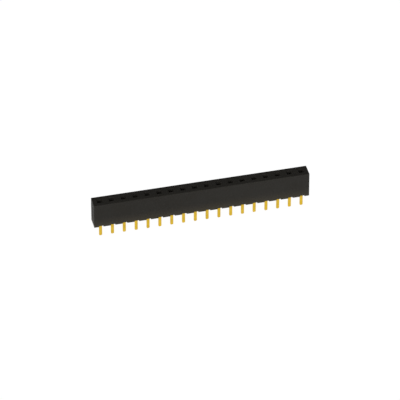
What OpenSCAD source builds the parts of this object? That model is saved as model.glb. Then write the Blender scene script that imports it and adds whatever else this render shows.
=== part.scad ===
/* [Strip] */
// Number of contacts in the row
positions = 18; // [2:1:40]
// Distance from one contact to the next
pitch = 2; // [1.8:0.05:3]
// Moulding beyond half a pitch at each end of the row
end_margin = 0.18; // [0.1:0.02:0.6]

/* [Housing] */
// Width of the housing across the row
body_w = 2.3; // [2:0.05:3.5]
// Height of the housing above the board
body_h = 4.55; // [4:0.05:8.5]
// Width of the open groove under each contact, front to back through the foot
groove_w = 0.75; // [0.65:0.05:1.1]
// Height of that groove, which holds the housing off the board
groove_h = 0.2; // [0.1:0.05:0.4]
// Small bevel along the outer edges of the moulding
edge_break = 0.04; // [0.02:0.01:0.08]

/* [Sockets] */
// Side of the square pin that the socket takes
pin_w = 0.5; // [0.4:0.02:0.54]
// Room around the pin in the throat, on each side
throat_play = 0.06; // [0.04:0.01:0.14]
// Depth of the straight throat
throat_h = 0.35; // [0.2:0.05:0.6]
// How far the lead-in widens beyond the throat, on each side
lead_in_reach = 0.15; // [0.05:0.025:0.2]
// Depth of the lead-in
lead_in_h = 0.4; // [0.15:0.05:0.5]
// Room between a spring and the wall of its cavity
spring_room = 0.09; // [0.06:0.01:0.15]
// Room between the tips of the springs and the roof of their cavity
tip_room = 0.25; // [0.1:0.05:0.5]
// Room behind the open side of the contact
back_room = 0.15; // [0.05:0.05:0.25]

/* [Contact strip] */
// Thickness of the metal that the contact is pressed from
stock = 0.2; // [0.15:0.01:0.25]
// Inside radius of the folds
fold_r = 0.1; // [0.06:0.02:0.16]
// Room between the pin and the flat back of the contact
back_play = 0.07; // [0.03:0.01:0.12]
// Room between the pin and each folded side
side_play = 0.11; // [0.08:0.01:0.16]
// Depth of the folded sides, measured over the back
side_d = 0.86; // [0.7:0.02:1]
// Height of the folded sides
box_h = 0.5; // [0.3:0.05:0.8]

/* [Springs] */
// Gap between the two springs at rest
spring_gap = 0.34; // [0.24:0.02:0.4]
// Step from the open edge of a folded side to the root of its spring
root_step = 0.06; // [0.02:0.02:0.12]
// Width of a spring at its tip
spring_tip_w = 0.4; // [0.3:0.02:0.44]
// Corner cut off each side of a spring's tip
tip_corner = 0.1; // [0.04:0.02:0.14]
// Height of the flared mouth above the narrowest place
mouth_h = 0.45; // [0.35:0.05:0.6]
// Lean of the flared mouth in degrees
mouth_lean = 22; // [14:1:24]
// Radius on the middle of the metal where the springs touch the pin
crest_r = 0.3; // [0.2:0.05:0.5]
// Radius on the middle of the metal where a spring starts to lean in
root_r = 0.4; // [0.2:0.05:0.6]

/* [Retention] */
// How far the wings reach into the wall on each side of the cavity
wing_reach = 0.1; // [0.05:0.01:0.14]
// Height of the wings
wing_h = 1; // [0.7:0.05:1.2]
// Distance from the roof of the groove up to the foot of the wings
wing_inset = 0.1; // [0.05:0.05:0.3]
// Room between the metal and the front and rear of the wing slot
slot_play = 0.02; // [0.01:0.01:0.05]
// How far a barb stands out of the edge of its wing
barb_bite = 0.04; // [0.02:0.01:0.06]
// Height of a barb
barb_h = 0.2; // [0.14:0.02:0.26]
// Height of the flat edge at the end of a barb
barb_land = 0.04; // [0.02:0.01:0.06]
// Number of barbs on the edge of a wing
barbs = 2; // [1:1:2]
// Height of the notch between the wings and the folds
notch_h = 0.15; // [0.1:0.05:0.3]

/* [Solder tails] */
// Width of a tail along the row
tail_w = 0.5; // [0.4:0.02:0.6]
// Length of a tail below the board seat
tail_l = 2.25; // [1.6:0.05:4]
// Radius in the corner between a tail and its wings
tail_fillet = 0.12; // [0.04:0.02:0.16]
// How much narrower the point of a tail is on each edge
point_inset = 0.1; // [0.04:0.01:0.14]
// How much thinner the point of a tail is on each face
point_coining = 0.04; // [0.02:0.01:0.06]
// Height of the point of a tail
point_h = 0.16; // [0.1:0.02:0.3]

/* [Hidden] */
$fn = 48;
// Overlap of a cut with the air outside it
air = 0.1;
// Straight pieces in the outline of a bend
bend_steps = 8;
body_l = positions * pitch + 2 * end_margin;

// Contact, seen from above: the back is towards the front of the strip, the pin is on the axis
back_outer = -(pin_w / 2 + back_play + stock);
back_inner = back_outer + stock;
side_end = back_outer + side_d;
box_in = pin_w + 2 * side_play;
box_w = box_in + 2 * stock;
neck_w = box_in - 2 * fold_r;

// Pocket in the housing, made to the contact and the pin
cavity_w = box_w + 2 * spring_room;
cavity_front = back_outer - slot_play;
cavity_d = side_end + back_room - cavity_front;
slot_w = cavity_w + 2 * wing_reach;
slot_d = stock + 2 * slot_play;
throat_w = pin_w + 2 * throat_play;
lead_in_w = throat_w + 2 * lead_in_reach;
throat_top = body_h - lead_in_h;
cavity_top = throat_top - throat_h;

// Heights along the contact
wing_foot = groove_h + wing_inset;
wing_top = wing_foot + wing_h;
box_foot = wing_top + notch_h;
box_top = box_foot + box_h;
tip_z = cavity_top - tip_room;
crest_z = tip_z - mouth_h;
wing_w = slot_w - 2 * barb_bite;
barb_step = wing_h / (barbs + 1);
spring_root_front = back_outer + stock + fold_r;
spring_root_rear = side_end - root_step;

// Middle line of a spring: up the folded side, in to the crest, out to the mouth
spring_root_x = (box_in + stock) / 2;
spring_in = spring_root_x - (spring_gap + stock) / 2;
spring_up = crest_z - box_top;
bends_r = root_r + crest_r;
lean_run = sqrt(pow(spring_in - bends_r, 2) + pow(spring_up, 2) - pow(bends_r, 2));
lean = atan2(lean_run, -bends_r) - atan2(spring_up, spring_in - bends_r);
mouth_run = (mouth_h - (crest_r + stock / 2) * sin(mouth_lean)) / cos(mouth_lean);

function contact_x(n) = (n - (positions + 1) / 2) * pitch;
function contact_name(n) = str("contact_", n < 10 ? "0" : "", n);

// Extrudes a drawing made in X and Z, from y = from to y = to
module extrude_y(from, to) {
    translate([0, to, 0])
        rotate([90, 0, 0])
            linear_extrude(to - from) children();
}

// Extrudes a drawing made in Y and Z, from x = from to x = to
module extrude_x(from, to) {
    translate([from, 0, 0])
        rotate([90, 0, 90])
            linear_extrude(to - from) children();
}

// Rectangle whose four corners are cut off at 45 degrees
module bevelled_outline(w, low, high, bevel) {
    polygon([
        [-w / 2, low + bevel],
        [-w / 2 + bevel, low],
        [w / 2 - bevel, low],
        [w / 2, low + bevel],
        [w / 2, high - bevel],
        [w / 2 - bevel, high],
        [-w / 2 + bevel, high],
        [-w / 2, high - bevel]
    ]);
}

// Solid block of the housing with its outer edges broken
module block() {
    intersection() {
        extrude_x(-body_l / 2, body_l / 2) bevelled_outline(body_w, 0, body_h, edge_break);
        extrude_y(-body_w / 2, body_w / 2) bevelled_outline(body_l, 0, body_h, edge_break);
        linear_extrude(body_h) bevelled_outline(body_l, -body_w / 2, body_w / 2, edge_break);
    }
}

// Side view of the way in: the lead-in narrows to the throat, which ends in the cavity
module entry_outline() {
    polygon([
        [-throat_w / 2, cavity_top - air],
        [throat_w / 2, cavity_top - air],
        [throat_w / 2, throat_top],
        [lead_in_w / 2, body_h],
        [lead_in_w / 2, body_h + air],
        [-lead_in_w / 2, body_h + air],
        [-lead_in_w / 2, body_h],
        [-throat_w / 2, throat_top]
    ]);
}

// Square lead-in and throat, the same from the front and from the end
module entry() {
    intersection() {
        extrude_x(-lead_in_w, lead_in_w) entry_outline();
        extrude_y(-lead_in_w, lead_in_w) entry_outline();
    }
}

// Everything that is open around one contact
module socket() {
    entry();
    translate([-cavity_w / 2, cavity_front, -air])
        cube([cavity_w, cavity_d, cavity_top + air]);
    translate([-slot_w / 2, cavity_front, -air])
        cube([slot_w, slot_d, wing_top + air]);
    translate([-groove_w / 2, -body_w / 2 - air, -air])
        cube([groove_w, body_w + 2 * air, groove_h + air]);
}

module housing() {
    color("#2b2a27")
        difference() {
            block();
            for (n = [1 : positions])
                translate([contact_x(n), 0, 0]) socket();
        }
}

// Unit steps for a heading in degrees, 0 straight up and positive towards +X
function ahead(heading) = [sin(heading), cos(heading)];
function right_of(heading) = [cos(heading), -sin(heading)];
function last(list) = list[len(list) - 1];

// A station on the middle line of the strip is [place, heading]; an arc turns right for a positive angle
function arc_on(station, r, angle) =
    let (side = sign(angle))
    let (centre = station[0] + side * r * right_of(station[1]))
    [
        for (i = [0 : bend_steps])
            let (heading = station[1] + angle * i / bend_steps)
            [centre - side * r * right_of(heading), heading]
    ];
function run_on(station, length) = [station[0] + length * ahead(station[1]), station[1]];

spring_root = [[spring_root_x, box_foot], 0];
root_arc = arc_on(run_on(spring_root, box_h), root_r, -lean);
crest_arc = arc_on(run_on(last(root_arc), lean_run), crest_r, lean + mouth_lean);
spring_line = concat([spring_root], root_arc, crest_arc, [run_on(last(crest_arc), mouth_run)]);

// Edge view of a spring: half the thickness to each side of its middle line
module spring_edge() {
    inner = [for (s = spring_line) s[0] - right_of(s[1]) * stock / 2];
    outer = [for (s = spring_line) s[0] + right_of(s[1]) * stock / 2];
    polygon(concat(inner, [for (i = [len(outer) - 1 : -1 : 0]) outer[i]]));
}

// Blank of a spring before it is bent, tapered to a tip with its corners cut off
module spring_blank() {
    polygon([
        [spring_root_front, box_foot],
        [spring_root_rear, box_foot],
        [spring_root_rear, box_top],
        [spring_tip_w / 2, tip_z - tip_corner],
        [spring_tip_w / 2 - tip_corner, tip_z],
        [tip_corner - spring_tip_w / 2, tip_z],
        [-spring_tip_w / 2, tip_z - tip_corner],
        [spring_root_front, box_top]
    ]);
}

module spring() {
    intersection() {
        extrude_y(back_outer, side_end) spring_edge();
        extrude_x(0, box_w) spring_blank();
    }
}

// Channel with round corners at the back and an open side, seen from above
module channel(w, back, corner_r, end) {
    translate([-w / 2, back + corner_r]) square([w, end - back - corner_r]);
    translate([corner_r - w / 2, back]) square([w - 2 * corner_r, corner_r]);
    for (side = [-1, 1])
        translate([side * (w / 2 - corner_r), back + corner_r]) circle(corner_r);
}

// Folded box that carries the springs
module fold() {
    translate([0, 0, box_foot])
        linear_extrude(box_h)
            difference() {
                channel(box_w, back_outer, fold_r + stock, side_end);
                channel(box_in, back_inner, fold_r, side_end + air);
            }
}

// Right half of the flat back: tail, wing with its barbs, and the neck up into the folded box
function half_blank() = concat(
    [
        [tail_w / 2 - point_inset, -tail_l],
        [tail_w / 2, point_h - tail_l],
        [tail_w / 2, wing_foot - tail_fillet],
        [tail_w / 2 + tail_fillet, wing_foot],
        [wing_w / 2, wing_foot]
    ],
    [for (i = [1 : barbs]) each barb(wing_foot + i * barb_step - barb_h / 2)],
    [
        [wing_w / 2, wing_top],
        [neck_w / 2, wing_top],
        [neck_w / 2, box_foot + air]
    ]
);

// Barb with a flat underside that grips and a slope on top that lets the contact in
function barb(z) = [
    [wing_w / 2, z],
    [wing_w / 2 + barb_bite, z],
    [wing_w / 2 + barb_bite, z + barb_land],
    [wing_w / 2, z + barb_h]
];

function mirrored(points) = [for (i = [len(points) - 1 : -1 : 0]) [-points[i][0], points[i][1]]];

// Flat back with the corners beside the tail rounded off
module back_blank() {
    difference() {
        polygon(concat(half_blank(), mirrored(half_blank())));
        for (side = [-1, 1])
            translate([side * (tail_w / 2 + tail_fillet), wing_foot - tail_fillet]) circle(tail_fillet);
    }
}

// Edge view of the flat back, with the point of the tail pressed thinner
module back_edge() {
    polygon([
        [back_outer + point_coining, -tail_l],
        [back_inner - point_coining, -tail_l],
        [back_inner, point_h - tail_l],
        [back_inner, box_foot + air],
        [back_outer, box_foot + air],
        [back_outer, point_h - tail_l]
    ]);
}

module back() {
    intersection() {
        extrude_y(back_outer, back_inner) back_blank();
        extrude_x(-slot_w, slot_w) back_edge();
    }
}

// One contact: flat back with wings and tail, folded box, and two springs
module contact(n) {
    color("#d9b84a")
        translate([contact_x(n), 0, 0]) {
            back();
            fold();
            for (side = [0, 1])
                mirror([side, 0, 0]) spring();
        }
}

housing();
for (n = [1 : positions])
    contact(n);
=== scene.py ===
"""Female pin header strip: a black moulded housing with a row of pressed gold contacts."""
import math

import bmesh
import bpy
import numpy as np
from bpy.props import FloatProperty, FloatVectorProperty, PointerProperty
from mathutils import Matrix, Vector


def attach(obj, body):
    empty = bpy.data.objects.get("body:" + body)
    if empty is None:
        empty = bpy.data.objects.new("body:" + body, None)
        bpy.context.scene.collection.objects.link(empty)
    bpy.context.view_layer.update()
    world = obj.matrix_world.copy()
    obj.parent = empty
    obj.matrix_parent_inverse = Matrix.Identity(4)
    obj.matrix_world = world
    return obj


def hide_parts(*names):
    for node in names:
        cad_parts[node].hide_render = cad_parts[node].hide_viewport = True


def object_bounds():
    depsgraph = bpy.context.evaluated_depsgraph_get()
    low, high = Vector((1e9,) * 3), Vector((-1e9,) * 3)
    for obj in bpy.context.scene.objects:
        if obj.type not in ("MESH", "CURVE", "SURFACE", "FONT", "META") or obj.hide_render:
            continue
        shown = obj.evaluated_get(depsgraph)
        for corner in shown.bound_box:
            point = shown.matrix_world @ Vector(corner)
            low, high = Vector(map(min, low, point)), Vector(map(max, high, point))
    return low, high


bl_info = {
    "name": "Female Pin Header Strip",
    "version": (1, 0, 0),
    "blender": (4, 5, 0),
    "location": "3D View > Sidebar > Pin Header",
    "description": "Dresses a female pin header strip and sets up its studio",
    "category": "Add Mesh",
}

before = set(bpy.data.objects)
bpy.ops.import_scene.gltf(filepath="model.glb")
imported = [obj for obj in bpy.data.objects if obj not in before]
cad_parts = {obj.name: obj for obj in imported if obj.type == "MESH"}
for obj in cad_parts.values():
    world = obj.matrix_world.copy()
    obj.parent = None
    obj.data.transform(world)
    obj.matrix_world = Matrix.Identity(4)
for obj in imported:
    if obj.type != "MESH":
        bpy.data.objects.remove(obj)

BODY = "root"
HOUSING_NODE = "housing"
CONTACT_NODES = sorted(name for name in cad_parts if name.startswith("contact_"))
MM = 0.001
CAD_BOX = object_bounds()

# Dressing a node: corners closer than the first are one, faces that meet at less than the second are one
# flat face, and edges sharper than the third are rounded
MERGE_MM = 1e-4
FLAT_ANGLE = math.radians(0.4)
SHARP_ANGLE = math.radians(25)

# Fine grain: how many pits lie along the length of one grain, and their share in its height
PITS_PER_GRAIN = 2.7
PIT_SHARE = 0.45
# Rolling lines: how many bands of tone there are for each line
BANDS_PER_LINE = 0.16
# Painted light at the foot, standing in for light thrown up from the floor: how fast it thins out upwards, 1
# for evenly
PAINTED_LIGHT_FALL_OFF = 1.6
# How far the roughness strays below and above its mean
MOULDING_SPREAD = (-0.05, 0.06)
PLATING_SPREAD = (-0.06, 0.1)
# Share of the grain in the height of the plating, whose rest is rolling lines
PLATING_GRAIN_SHARE = 0.35
# The Mix node's two colour inputs and its colour output, which share their names with others
MIX_A, MIX_B, MIX_RESULT = 6, 7, 2

# Where each soft sun shines from, towards the middle of the strip, and the angle that its disc fills
KEY_PLACE = (-0.45, -0.35, 0.25)
KEY_SPREAD = math.radians(45)
FILL_PLACE = (0.4, -0.4, 0.2)
FILL_SPREAD = math.radians(60)
WHITE = (1.0, 1.0, 1.0, 1.0)
# Room between the tips of the tails and the floor
FLOOR_GAP = 0.002 * MM
# Side of the square picture in pixels, and width of the camera's sensor in millimetres
IMAGE_SIDE = 400
SENSOR_WIDTH = 36.0


class HousingFinish(bpy.types.PropertyGroup):
    """Finish of the black moulding"""

    colour: FloatVectorProperty(
        name="Colour", description="Colour of the moulding",
        default=(0.008, 0.0067, 0.0043), subtype="COLOR", min=0.0, max=1.0,
    )
    warm_colour: FloatVectorProperty(
        name="Warm colour", description="Colour where the resin is rich in filler",
        default=(0.0104, 0.0087, 0.0056), subtype="COLOR", min=0.0, max=1.0,
    )
    # Painted light: a paler colour mixed in towards the foot, standing in for light thrown up from the floor
    painted_light_colour: FloatVectorProperty(
        name="Painted light colour", description="Colour of the pale bloom along the foot",
        default=(0.038, 0.031, 0.019), subtype="COLOR", min=0.0, max=1.0,
    )
    fleck_colour: FloatVectorProperty(
        name="Fleck colour", description="Colour of the glass-fibre flecks at the surface",
        default=(0.024, 0.022, 0.019), subtype="COLOR", min=0.0, max=1.0,
    )
    # How far up the painted light from the floor reaches
    painted_light_height: FloatProperty(
        name="Painted light height", description="How far up from the foot the bloom reaches",
        default=2.0 * MM, min=0.0, unit="LENGTH", precision=4,
    )
    edge_radius: FloatProperty(
        name="Edge radius", description="Rounding along every moulded edge",
        default=0.018 * MM, min=0.0, unit="LENGTH", precision=6,
    )
    roughness: FloatProperty(
        name="Roughness", description="Mean roughness of the moulding",
        default=0.72, min=0.0, max=1.0, subtype="FACTOR",
    )
    gloss: FloatProperty(
        name="Gloss", description="Strength of the moulding's mirror reflection, 0.5 for clear resin",
        default=0.32, min=0.0, max=1.0, subtype="FACTOR",
    )
    grain: FloatProperty(
        name="Grain", description="Size of the fine grain left by the mould",
        default=0.08 * MM, min=0.001 * MM, unit="LENGTH", precision=6,
    )
    grain_depth: FloatProperty(
        name="Grain depth", description="Depth of that grain",
        default=0.006 * MM, min=0.0, unit="LENGTH", precision=7,
    )
    smooth_below: FloatProperty(
        name="Smooth below", description="Largest angle between faces that is shaded smooth",
        default=math.radians(12), min=0.0, max=math.pi, subtype="ANGLE",
    )


class ContactFinish(bpy.types.PropertyGroup):
    """Finish of the gold-plated contacts"""

    colour: FloatVectorProperty(
        name="Colour", description="Colour of the gold plating",
        default=(0.74, 0.495, 0.05), subtype="COLOR", min=0.0, max=1.0,
    )
    deep_colour: FloatVectorProperty(
        name="Deep colour", description="Colour of the plating where it is thin",
        default=(0.64, 0.42, 0.039), subtype="COLOR", min=0.0, max=1.0,
    )
    edge_radius: FloatProperty(
        name="Edge radius", description="Roll-over along the pressed edges",
        default=0.014 * MM, min=0.0, unit="LENGTH", precision=6,
    )
    roughness: FloatProperty(
        name="Roughness", description="Mean roughness of the plating",
        default=0.3, min=0.0, max=1.0, subtype="FACTOR",
    )
    line_depth: FloatProperty(
        name="Line depth", description="Depth of the rolling lines along the strip",
        default=0.0008 * MM, min=0.0, unit="LENGTH", precision=7,
    )
    smooth_below: FloatProperty(
        name="Smooth below", description="Largest angle between faces that is shaded smooth",
        default=math.radians(12), min=0.0, max=math.pi, subtype="ANGLE",
    )


class StageSettings(bpy.types.PropertyGroup):
    """Camera, lamps and floor"""

    azimuth: FloatProperty(
        name="Azimuth", description="Camera's turn to the left of straight ahead",
        default=math.radians(13.68), subtype="ANGLE",
    )
    elevation: FloatProperty(
        name="Elevation", description="Camera's height above the horizon",
        default=math.radians(38.34), subtype="ANGLE",
    )
    distance: FloatProperty(
        name="Distance", description="From the camera to the board seat's centre",
        default=0.7287, min=0.01, unit="LENGTH",
    )
    focal_pixels: FloatProperty(
        name="Focal length in pixels", description="Focal length for an image 400 pixels wide",
        default=4426.0, min=100.0,
    )
    seat_x: FloatProperty(
        name="Seat across", description="Pixel column of the board seat's centre", default=200.6,
    )
    seat_y: FloatProperty(
        name="Seat down", description="Pixel row of the board seat's centre", default=207.52,
    )
    floor_colour: FloatVectorProperty(
        name="Floor colour", description="Colour of the floor",
        default=(0.8, 0.8, 0.8), subtype="COLOR", min=0.0, max=1.0,
    )
    floor_white: FloatProperty(
        name="Floor white", description="Brightness of the floor as the camera and reflections see it",
        default=1.035, min=0.0,
    )
    shadow_share: FloatProperty(
        name="Shadow share", description="Share of the lit paper, with the shadow on it, in what is seen",
        default=0.05, min=0.0, max=1.0, subtype="FACTOR",
    )
    floor_side: FloatProperty(
        name="Floor side", description="Side of the square floor", default=3.0, min=0.1, unit="LENGTH",
    )
    key_strength: FloatProperty(
        name="Key strength", description="Strength of the soft light from the left", default=1.9, min=0.0,
    )
    fill_strength: FloatProperty(
        name="Fill strength", description="Strength of the soft light from the right", default=0.9, min=0.0,
    )
    ambient: FloatProperty(
        name="Ambient", description="Strength of the light from all round", default=0.4, min=0.0,
    )
    ceiling: FloatProperty(
        name="Ceiling", description="Brightness of the room overhead as reflections see it",
        default=0.09, min=0.0,
    )


def add_node(tree, kind, at, **values):
    """Adds a shader node at a place in the editor.

    Values name input sockets, or settings of the node if no socket has the name."""
    node = tree.nodes.new(kind)
    node.location = at
    for key, value in values.items():
        name = key.replace("_", " ")
        sockets = {socket.name.lower(): socket for socket in node.inputs if socket.enabled}
        if name.lower() in sockets:
            sockets[name.lower()].default_value = value
        else:
            setattr(node, key, value)
    return node


def add_math(tree, operation, at, *numbers, clamp=False):
    """Adds a Math node; numbers fill its inputs in order, and None leaves an input as it is."""
    node = add_node(tree, "ShaderNodeMath", at, operation=operation, use_clamp=clamp)
    for socket, number in zip(node.inputs, numbers):
        if number is not None:
            socket.default_value = number
    return node


def new_group(name, inputs, outputs):
    """Makes an empty shader node group; each socket is (kind, name), and an input may add its default."""
    tree = bpy.data.node_groups.new(name, "ShaderNodeTree")
    for kind, label, *default in inputs:
        socket = tree.interface.new_socket(label, in_out="INPUT", socket_type="NodeSocket" + kind)
        if default:
            socket.default_value = default[0]
    for kind, label in outputs:
        tree.interface.new_socket(label, in_out="OUTPUT", socket_type="NodeSocket" + kind)
    source = add_node(tree, "NodeGroupInput", (-900, 0))
    sink = add_node(tree, "NodeGroupOutput", (600, 0))
    return tree, source, sink


def place_group(tree, name, at, **values):
    """Places a shared node group in a material's tree."""
    node = tree.nodes.new("ShaderNodeGroup")
    node.node_tree = bpy.data.node_groups[name]
    node.location = at
    for key, value in values.items():
        node.inputs[key.replace("_", " ")].default_value = value
    return node


def build_grain_group():
    """Fine Grain: noise and finer pits added as a height, the peaks as flecks, a slow noise as drift."""
    inputs = [
        ("Vector", "Vector"),
        ("Float", "Grains per metre", 20000.0),
        ("Float", "Drift per metre", 300.0),
    ]
    outputs = [("Float", "Height"), ("Float", "Drift"), ("Float", "Fleck")]
    tree, source, sink = new_group("Fine Grain", inputs, outputs)
    link = tree.links.new
    fine = add_node(tree, "ShaderNodeTexNoise", (-600, 200), Detail=3.0, Roughness=0.55)
    finer = add_math(tree, "MULTIPLY", (-780, 0), None, PITS_PER_GRAIN)
    pits = add_node(tree, "ShaderNodeTexVoronoi", (-600, -60), feature="SMOOTH_F1", Smoothness=0.4)
    slow = add_node(tree, "ShaderNodeTexNoise", (-600, -340), Detail=4.0, Roughness=0.5)
    mix = add_math(tree, "MULTIPLY_ADD", (-300, 100), None, PIT_SHARE)
    soft = add_node(tree, "ShaderNodeMapRange", (-300, -300), From_Min=0.3, From_Max=0.7)
    peaks = add_node(tree, "ShaderNodeMapRange", (-300, -560), From_Min=0.58, From_Max=0.7)
    for texture in (fine, pits, slow):
        link(source.outputs["Vector"], texture.inputs["Vector"])
    link(source.outputs["Grains per metre"], fine.inputs["Scale"])
    link(source.outputs["Grains per metre"], finer.inputs[0])
    link(finer.outputs[0], pits.inputs["Scale"])
    link(source.outputs["Drift per metre"], slow.inputs["Scale"])
    link(pits.outputs["Distance"], mix.inputs[0])
    link(fine.outputs["Fac"], mix.inputs[2])
    link(slow.outputs["Fac"], soft.inputs["Value"])
    link(fine.outputs["Fac"], peaks.inputs["Value"])
    link(peaks.outputs["Result"], sink.inputs["Fleck"])
    link(mix.outputs[0], sink.inputs["Height"])
    link(soft.outputs["Result"], sink.inputs["Drift"])


def build_lines_group():
    """Rolling Lines: noise drawn out along the strip as a height, and coarser bands of it as a tone."""
    inputs = [("Vector", "Vector"), ("Float", "Lines per metre", 26000.0), ("Float", "Stretch", 0.03)]
    tree, source, sink = new_group("Rolling Lines", inputs, [("Float", "Height"), ("Float", "Tone")])
    link = tree.links.new
    squeeze = add_node(tree, "ShaderNodeCombineXYZ", (-740, -160), X=1.0, Y=1.0)
    drawn = add_node(tree, "ShaderNodeVectorMath", (-560, 60), operation="MULTIPLY")
    lines = add_node(tree, "ShaderNodeTexNoise", (-360, 160), Detail=4.0, Roughness=0.6)
    coarser = add_math(tree, "MULTIPLY", (-560, -260), None, BANDS_PER_LINE)
    bands = add_node(tree, "ShaderNodeTexNoise", (-360, -160), Detail=2.0, Roughness=0.5)
    link(source.outputs["Stretch"], squeeze.inputs["Z"])
    link(source.outputs["Vector"], drawn.inputs[0])
    link(squeeze.outputs[0], drawn.inputs[1])
    link(source.outputs["Lines per metre"], coarser.inputs[0])
    link(source.outputs["Lines per metre"], lines.inputs["Scale"])
    link(coarser.outputs[0], bands.inputs["Scale"])
    link(drawn.outputs[0], lines.inputs["Vector"])
    link(drawn.outputs[0], bands.inputs["Vector"])
    link(lines.outputs["Fac"], sink.inputs["Height"])
    link(bands.outputs["Fac"], sink.inputs["Tone"])


def build_tone_group():
    """Two Tones: blends two colours by a mask, and lightens or darkens the result by a shade about 0.5."""
    inputs = [
        ("Color", "Colour", (0.5, 0.5, 0.5, 1.0)),
        ("Color", "Other colour", (0.4, 0.4, 0.4, 1.0)),
        ("Float", "Mask", 0.5),
        ("Float", "Shade", 0.5),
        ("Float", "Contrast", 0.2),
    ]
    tree, source, sink = new_group("Two Tones", inputs, [("Color", "Colour")])
    link = tree.links.new
    blend = add_node(tree, "ShaderNodeMix", (-500, 100), data_type="RGBA")
    centre = add_math(tree, "SUBTRACT", (-700, -160), None, 0.5)
    gain = add_math(tree, "MULTIPLY_ADD", (-500, -160), None, None, 1.0)
    scale = add_node(tree, "ShaderNodeVectorMath", (-200, 60), operation="SCALE")
    link(source.outputs["Mask"], blend.inputs["Factor"])
    link(source.outputs["Colour"], blend.inputs[MIX_A])
    link(source.outputs["Other colour"], blend.inputs[MIX_B])
    link(source.outputs["Shade"], centre.inputs[0])
    link(centre.outputs[0], gain.inputs[0])
    link(source.outputs["Contrast"], gain.inputs[1])
    link(blend.outputs[MIX_RESULT], scale.inputs[0])
    link(gain.outputs[0], scale.inputs["Scale"])
    link(scale.outputs[0], sink.inputs["Colour"])


def build_painted_light_group():
    """Painted Foot Light: painted light thrown up from the floor, full at the foot, thinning out up to the
    given height, broken up a little by a noise.
    """
    inputs = [("Vector", "Vector"), ("Float", "Height", 0.002), ("Float", "Noise", 0.5)]
    tree, source, sink = new_group("Painted Foot Light", inputs, [("Float", "Mask")])
    link = tree.links.new
    split = add_node(tree, "ShaderNodeSeparateXYZ", (-700, 100))
    rise = add_math(tree, "DIVIDE", (-500, 100), clamp=True)
    fall = add_math(tree, "SUBTRACT", (-300, 100), 1.0)
    soft = add_math(tree, "POWER", (-100, 100), None, PAINTED_LIGHT_FALL_OFF)
    vary = add_node(tree, "ShaderNodeMapRange", (-300, -200), To_Min=0.8, To_Max=1.1)
    mask = add_math(tree, "MULTIPLY", (200, 0), clamp=True)
    link(source.outputs["Vector"], split.inputs[0])
    link(split.outputs["Z"], rise.inputs[0])
    link(source.outputs["Height"], rise.inputs[1])
    link(rise.outputs[0], fall.inputs[1])
    link(fall.outputs[0], soft.inputs[0])
    link(source.outputs["Noise"], vary.inputs["Value"])
    link(soft.outputs[0], mask.inputs[0])
    link(vary.outputs["Result"], mask.inputs[1])
    link(mask.outputs[0], sink.inputs["Mask"])


def with_alpha(colour):
    """Colour with full alpha, as a shader socket takes it."""
    return (*colour, 1.0)


def new_material(name):
    """Empty material with its output and a Principled shader; returns it, its tree and the shader."""
    material = bpy.data.materials.new(name)
    material.use_nodes = True
    tree = material.node_tree
    tree.nodes.clear()
    output = add_node(tree, "ShaderNodeOutputMaterial", (600, 0))
    shader = add_node(tree, "ShaderNodeBsdfPrincipled", (300, 0))
    tree.links.new(shader.outputs[0], output.inputs["Surface"])
    return material, tree, shader


def add_roughness(tree, at, mean, spread):
    """Map Range node that turns a mask from 0 to 1 into a roughness about its mean."""
    return add_node(tree, "ShaderNodeMapRange", at, To_Min=mean + spread[0], To_Max=mean + spread[1])


def moulding_material(finish):
    """Black resin: mould grain as bump, pale flecks, slow drift in tone and roughness, painted floor light
    at the foot.
    """
    material, tree, shader = new_material("black_moulding")
    link = tree.links.new
    place = add_node(tree, "ShaderNodeTexCoord", (-900, 0))
    grain = place_group(
        tree, "Fine Grain", (-650, 0), Grains_per_metre=1.0 / finish.grain, Drift_per_metre=420.0
    )
    tone = place_group(
        tree, "Two Tones", (-300, 200), Colour=with_alpha(finish.colour),
        Other_colour=with_alpha(finish.warm_colour), Contrast=0.5,
    )
    flecked = place_group(
        tree, "Two Tones", (-100, 420), Other_colour=with_alpha(finish.fleck_colour), Shade=0.5, Contrast=0.0
    )
    rough = add_roughness(tree, (-300, -60), finish.roughness, MOULDING_SPREAD)
    # Painted light from the floor: the colour turns paler towards the foot
    painted_light = place_group(tree, "Painted Foot Light", (-300, 420), Height=finish.painted_light_height)
    foot_lit = place_group(
        tree, "Two Tones", (0, 260), Other_colour=with_alpha(finish.painted_light_colour), Shade=0.5, Contrast=0.0
    )
    bump = add_node(tree, "ShaderNodeBump", (0, -300), Strength=1.0, Distance=finish.grain_depth)
    shader.inputs["Specular IOR Level"].default_value = finish.gloss
    link(place.outputs["Object"], grain.inputs["Vector"])
    link(place.outputs["Object"], painted_light.inputs["Vector"])
    link(grain.outputs["Drift"], painted_light.inputs["Noise"])
    link(painted_light.outputs["Mask"], foot_lit.inputs["Mask"])
    link(tone.outputs["Colour"], flecked.inputs["Colour"])
    link(grain.outputs["Fleck"], flecked.inputs["Mask"])
    link(flecked.outputs["Colour"], foot_lit.inputs["Colour"])
    link(grain.outputs["Drift"], tone.inputs["Mask"])
    link(grain.outputs["Height"], tone.inputs["Shade"])
    link(grain.outputs["Drift"], rough.inputs["Value"])
    link(grain.outputs["Height"], bump.inputs["Height"])
    link(foot_lit.outputs["Colour"], shader.inputs["Base Color"])
    link(rough.outputs["Result"], shader.inputs["Roughness"])
    link(bump.outputs["Normal"], shader.inputs["Normal"])
    return material


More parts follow.
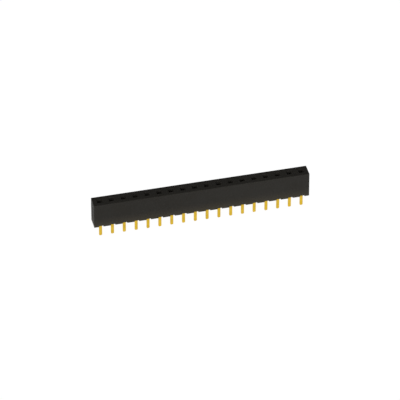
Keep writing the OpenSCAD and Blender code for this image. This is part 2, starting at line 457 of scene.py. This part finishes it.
def plating_material(finish):
    """Gold flash on rolled strip: lines along the strip, thinner plating in slow patches."""
    material, tree, shader = new_material("gold_plating")
    link = tree.links.new
    place = add_node(tree, "ShaderNodeTexCoord", (-900, 0))
    lines = place_group(tree, "Rolling Lines", (-650, 200), Lines_per_metre=30000.0, Stretch=0.04)
    grain = place_group(
        tree, "Fine Grain", (-650, -120), Grains_per_metre=24000.0, Drift_per_metre=1400.0
    )
    tone = place_group(
        tree, "Two Tones", (-300, 200), Colour=with_alpha(finish.colour),
        Other_colour=with_alpha(finish.deep_colour), Contrast=0.3,
    )
    rough = add_roughness(tree, (-300, -60), finish.roughness, PLATING_SPREAD)
    height = add_math(tree, "MULTIPLY_ADD", (-300, -320), None, PLATING_GRAIN_SHARE)
    bump = add_node(tree, "ShaderNodeBump", (0, -300), Strength=1.0, Distance=finish.line_depth)
    shader.inputs["Metallic"].default_value = 1.0
    link(place.outputs["Object"], lines.inputs["Vector"])
    link(place.outputs["Object"], grain.inputs["Vector"])
    link(grain.outputs["Drift"], tone.inputs["Mask"])
    link(lines.outputs["Tone"], tone.inputs["Shade"])
    link(lines.outputs["Tone"], rough.inputs["Value"])
    link(grain.outputs["Height"], height.inputs[0])
    link(lines.outputs["Height"], height.inputs[2])
    link(height.outputs[0], bump.inputs["Height"])
    link(tone.outputs["Colour"], shader.inputs["Base Color"])
    link(rough.outputs["Result"], shader.inputs["Roughness"])
    link(bump.outputs["Normal"], shader.inputs["Normal"])
    return material


def dress_node(name, node_name, material, finish):
    """Copy of a CAD node with its triangles merged into flat faces and a small bevel along each sharp edge.

    The work is done in millimetres, because the edges are only hundredths of a millimetre wide."""
    bm = bmesh.new()
    bm.from_mesh(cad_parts[node_name].data)
    bmesh.ops.transform(bm, matrix=Matrix.Scale(1 / MM, 4), verts=bm.verts)
    bmesh.ops.remove_doubles(bm, verts=bm.verts, dist=MERGE_MM)
    bmesh.ops.dissolve_limit(bm, angle_limit=FLAT_ANGLE, verts=bm.verts, edges=bm.edges)
    sharp = [edge for edge in bm.edges if edge.is_manifold and edge.calc_face_angle() > SHARP_ANGLE]
    bmesh.ops.bevel(
        bm, geom=sharp, offset=finish.edge_radius / MM, offset_type="OFFSET", segments=1,
        affect="EDGES", clamp_overlap=True,
    )
    bmesh.ops.triangulate(bm, faces=[face for face in bm.faces if len(face.verts) > 4])
    bmesh.ops.transform(bm, matrix=Matrix.Scale(MM, 4), verts=bm.verts)
    mesh = bpy.data.meshes.new(name)
    bm.to_mesh(mesh)
    bm.free()
    mesh.materials.append(material)
    mesh.shade_smooth()
    mesh.set_sharp_from_angle(angle=finish.smooth_below)
    piece = bpy.data.objects.new(name, mesh)
    bpy.context.scene.collection.objects.link(piece)
    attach(piece, BODY)
    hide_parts(node_name)
    return piece


class PINHEADER_OT_materials(bpy.types.Operator):
    """Build the shared node groups and the two materials"""

    bl_idname = "pinheader.materials"
    bl_label = "Build Materials"

    def execute(self, context):
        build_grain_group()
        build_lines_group()
        build_tone_group()
        build_painted_light_group()
        moulding_material(context.scene.pinheader_housing)
        plating_material(context.scene.pinheader_contact)
        return {"FINISHED"}


class PINHEADER_OT_housing(bpy.types.Operator):
    """Dress the black moulded housing"""

    bl_idname = "pinheader.housing"
    bl_label = "Add Housing"

    def execute(self, context):
        material = bpy.data.materials["black_moulding"]
        piece = dress_node("housing_moulding", HOUSING_NODE, material, context.scene.pinheader_housing)
        return {"FINISHED"}


class PINHEADER_OT_contacts(bpy.types.Operator):
    """Dress every gold contact in the row"""

    bl_idname = "pinheader.contacts"
    bl_label = "Add Contacts"

    def execute(self, context):
        material = bpy.data.materials["gold_plating"]
        for name in CONTACT_NODES:
            piece = dress_node("gold_" + name, name, material, context.scene.pinheader_contact)
        return {"FINISHED"}


def shown_light(tree, at):
    """Math node that is 1 for a camera, glossy or transmission ray, and 0 for the light on the object."""
    path = add_node(tree, "ShaderNodeLightPath", at)
    total = add_math(tree, "ADD", (at[0] + 200, at[1]), clamp=True)
    more = add_math(tree, "ADD", (at[0] + 400, at[1]), clamp=True)
    tree.links.new(path.outputs["Is Camera Ray"], total.inputs[0])
    tree.links.new(path.outputs["Is Glossy Ray"], total.inputs[1])
    tree.links.new(total.outputs[0], more.inputs[0])
    tree.links.new(path.outputs["Is Transmission Ray"], more.inputs[1])
    return more


def floor_material(settings):
    """White paper: a diffuse surface for light, shown as plain white with a trace of the object's shadow."""
    material = bpy.data.materials.new("white_floor")
    material.use_nodes = True
    tree = material.node_tree
    tree.nodes.clear()
    link = tree.links.new
    output = add_node(tree, "ShaderNodeOutputMaterial", (700, 0))
    mix = add_node(tree, "ShaderNodeMixShader", (500, 0))
    paper = add_node(tree, "ShaderNodeBsdfDiffuse", (200, -60), Color=with_alpha(settings.floor_colour))
    white = add_node(
        tree, "ShaderNodeEmission", (200, -220), Color=WHITE, Strength=settings.floor_white
    )
    shown = shown_light(tree, (-500, 200))
    share = add_math(tree, "MULTIPLY", (200, 200), None, 1.0 - settings.shadow_share)
    link(shown.outputs[0], share.inputs[0])
    link(share.outputs[0], mix.inputs["Fac"])
    link(paper.outputs[0], mix.inputs[1])
    link(white.outputs[0], mix.inputs[2])
    link(mix.outputs[0], output.inputs["Surface"])
    return material


def build_floor(settings):
    """Square floor just below the tips of the tails."""
    half = settings.floor_side / 2
    level = CAD_BOX[0].z - FLOOR_GAP
    corners = np.array([[-1, -1], [1, -1], [1, 1], [-1, 1]], float) * half
    mesh = bpy.data.meshes.new("floor")
    mesh.from_pydata([(x, y, level) for x, y in corners], [], [(0, 1, 2, 3)])
    mesh.materials.append(floor_material(settings))
    floor = bpy.data.objects.new("floor", mesh)
    bpy.context.scene.collection.objects.link(floor)


def build_world(settings):
    """White behind the object; reflections see white low down that fades to a dim room above."""
    world = bpy.data.worlds.new("studio")
    bpy.context.scene.world = world
    world.use_nodes = True
    tree = world.node_tree
    tree.nodes.clear()
    link = tree.links.new
    output = add_node(tree, "ShaderNodeOutputWorld", (900, 0))
    shown_mix = add_node(tree, "ShaderNodeMixShader", (700, 0))
    glossy_mix = add_node(tree, "ShaderNodeMixShader", (500, -100))
    ambient = add_node(
        tree, "ShaderNodeBackground", (200, 0), Color=WHITE, Strength=settings.ambient
    )
    room = add_node(tree, "ShaderNodeBackground", (200, -160), Strength=1.0)
    white = add_node(tree, "ShaderNodeBackground", (200, -340), Color=WHITE, Strength=1.0)
    place = add_node(tree, "ShaderNodeTexCoord", (-600, -160))
    split = add_node(tree, "ShaderNodeSeparateXYZ", (-400, -160))
    fade = add_node(
        tree, "ShaderNodeMapRange", (-200, -160), From_Min=0.02, From_Max=0.4,
        To_Min=1.0, To_Max=settings.ceiling, interpolation_type="SMOOTHSTEP",
    )
    path = add_node(tree, "ShaderNodeLightPath", (-200, 300))
    mirrored = add_math(tree, "ADD", (0, 300), clamp=True)
    link(place.outputs["Generated"], split.inputs[0])
    link(split.outputs["Z"], fade.inputs["Value"])
    link(fade.outputs["Result"], room.inputs["Color"])
    link(path.outputs["Is Glossy Ray"], mirrored.inputs[0])
    link(path.outputs["Is Transmission Ray"], mirrored.inputs[1])
    link(mirrored.outputs[0], glossy_mix.inputs["Fac"])
    link(ambient.outputs[0], glossy_mix.inputs[1])
    link(room.outputs[0], glossy_mix.inputs[2])
    link(path.outputs["Is Camera Ray"], shown_mix.inputs["Fac"])
    link(glossy_mix.outputs[0], shown_mix.inputs[1])
    link(white.outputs[0], shown_mix.inputs[2])
    link(shown_mix.outputs[0], output.inputs["Surface"])


def add_soft_sun(name, place, spread, strength):
    """Broad parallel light that shines from a place towards the middle of the strip."""
    data = bpy.data.lights.new(name, "SUN")
    data.angle = spread
    data.energy = strength
    lamp = bpy.data.objects.new(name, data)
    lamp.location = place
    lamp.rotation_euler = (-Vector(place)).to_track_quat("-Z", "Y").to_euler()
    bpy.context.scene.collection.objects.link(lamp)


def build_camera(settings):
    """Camera that puts the board seat's centre on its pixel, by distance, lens and a small shift."""
    azimuth, elevation = settings.azimuth, settings.elevation
    back = Vector((
        -math.sin(azimuth) * math.cos(elevation),
        -math.cos(azimuth) * math.cos(elevation),
        math.sin(elevation),
    ))
    data = bpy.data.cameras.new("camera")
    data.sensor_width = SENSOR_WIDTH
    data.lens = settings.focal_pixels / IMAGE_SIDE * data.sensor_width
    data.shift_x = (IMAGE_SIDE / 2 - settings.seat_x) / IMAGE_SIDE
    data.shift_y = (settings.seat_y - IMAGE_SIDE / 2) / IMAGE_SIDE
    data.clip_start = 0.01
    data.clip_end = 20.0
    camera = bpy.data.objects.new("camera", data)
    camera.location = back * settings.distance
    camera.rotation_mode = "QUATERNION"
    camera.rotation_quaternion = (-back).to_track_quat("-Z", "Y")
    bpy.context.scene.collection.objects.link(camera)
    bpy.context.scene.camera = camera


class PINHEADER_OT_stage(bpy.types.Operator):
    """Set up the floor, the world, the lamps and the camera"""

    bl_idname = "pinheader.stage"
    bl_label = "Set Up Stage"

    def execute(self, context):
        settings = context.scene.pinheader_stage
        build_floor(settings)
        build_world(settings)
        add_soft_sun("key_light", KEY_PLACE, KEY_SPREAD, settings.key_strength)
        add_soft_sun("fill_light", FILL_PLACE, FILL_SPREAD, settings.fill_strength)
        build_camera(settings)
        context.scene.view_settings.view_transform = "Standard"
        return {"FINISHED"}


class PINHEADER_PT_panel(bpy.types.Panel):
    """Lists the pieces and their settings"""

    bl_label = "Pin Header Strip"
    bl_idname = "PINHEADER_PT_panel"
    bl_space_type = "VIEW_3D"
    bl_region_type = "UI"
    bl_category = "Pin Header"

    def draw(self, context):
        layout = self.layout
        for operator, settings in (
            (PINHEADER_OT_materials, None),
            (PINHEADER_OT_housing, context.scene.pinheader_housing),
            (PINHEADER_OT_contacts, context.scene.pinheader_contact),
            (PINHEADER_OT_stage, context.scene.pinheader_stage),
        ):
            box = layout.box()
            box.operator(operator.bl_idname)
            for name in settings.__annotations__ if settings else ():
                box.prop(settings, name)


CLASSES = (
    HousingFinish,
    ContactFinish,
    StageSettings,
    PINHEADER_OT_materials,
    PINHEADER_OT_housing,
    PINHEADER_OT_contacts,
    PINHEADER_OT_stage,
    PINHEADER_PT_panel,
)


def register():
    """Registers the classes and gives the scene its settings."""
    for item in CLASSES:
        bpy.utils.register_class(item)
    bpy.types.Scene.pinheader_housing = PointerProperty(type=HousingFinish)
    bpy.types.Scene.pinheader_contact = PointerProperty(type=ContactFinish)
    bpy.types.Scene.pinheader_stage = PointerProperty(type=StageSettings)


def unregister():
    """Takes the settings off the scene and unregisters the classes."""
    del bpy.types.Scene.pinheader_stage
    del bpy.types.Scene.pinheader_contact
    del bpy.types.Scene.pinheader_housing
    for item in reversed(CLASSES):
        bpy.utils.unregister_class(item)


def main():
    """Builds every piece and the stage."""
    register()
    bpy.ops.pinheader.materials()
    bpy.ops.pinheader.housing()
    bpy.ops.pinheader.contacts()
    bpy.ops.pinheader.stage()


if __name__ == "__main__":
    main()
